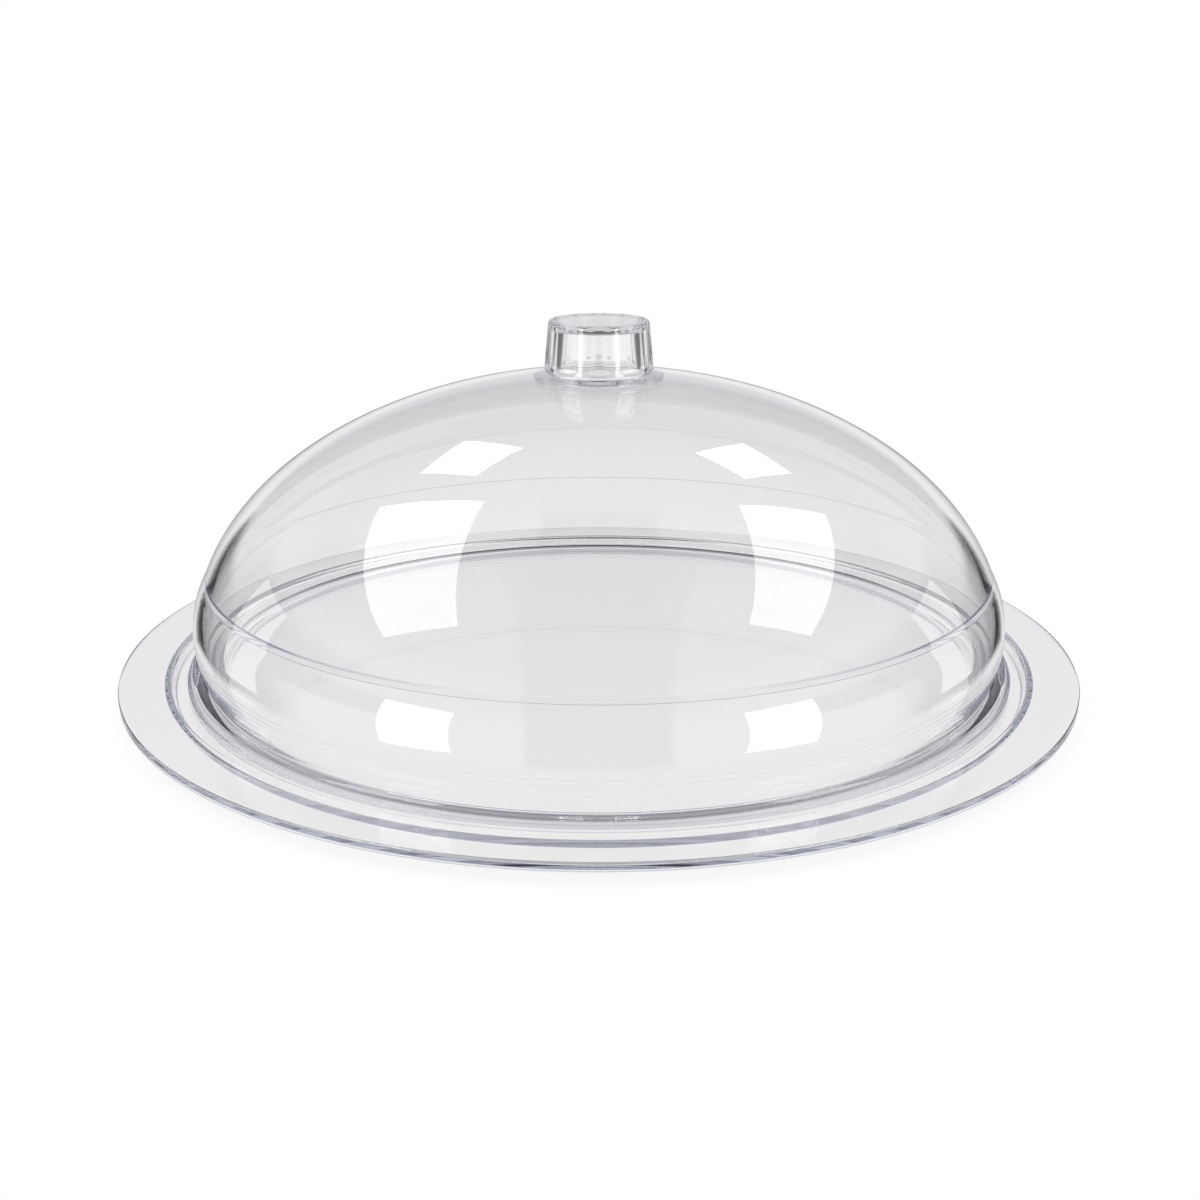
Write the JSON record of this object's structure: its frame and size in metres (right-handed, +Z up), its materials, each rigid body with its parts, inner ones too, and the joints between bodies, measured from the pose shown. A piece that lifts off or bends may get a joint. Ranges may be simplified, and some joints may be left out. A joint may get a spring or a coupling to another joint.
{
  "type": "covered tray",
  "caption": "Round clear tray with a shallow well, and a clear domed cover with a ledge ringing its inside and a fluted finger knob that lifts off, for keeping and serving food.",
  "frame": {"origin": "middle of the tray's flat underside, on the axis that every piece is turned about", "axes": "+Z up along that axis, out through the knob; the pictured side faces -Y"},
  "size_m": [0.36, 0.36, 0.1325],
  "materials": {
    "clear_tray": "polished",
    "clear_cover": "polished",
    "clear_knob": "polished"
  },
  "bodies": {
    "tray": {"tray": "clear_tray"},
    "cover": {"dome_cover": "clear_cover", "knob": "clear_knob"}
  },
  "joints": [
    {"name": "cover_lift", "type": "slide", "parent": "tray", "child": "cover", "axis": [0, 0, 1], "range_m": [0, 0.16]}
  ]
}
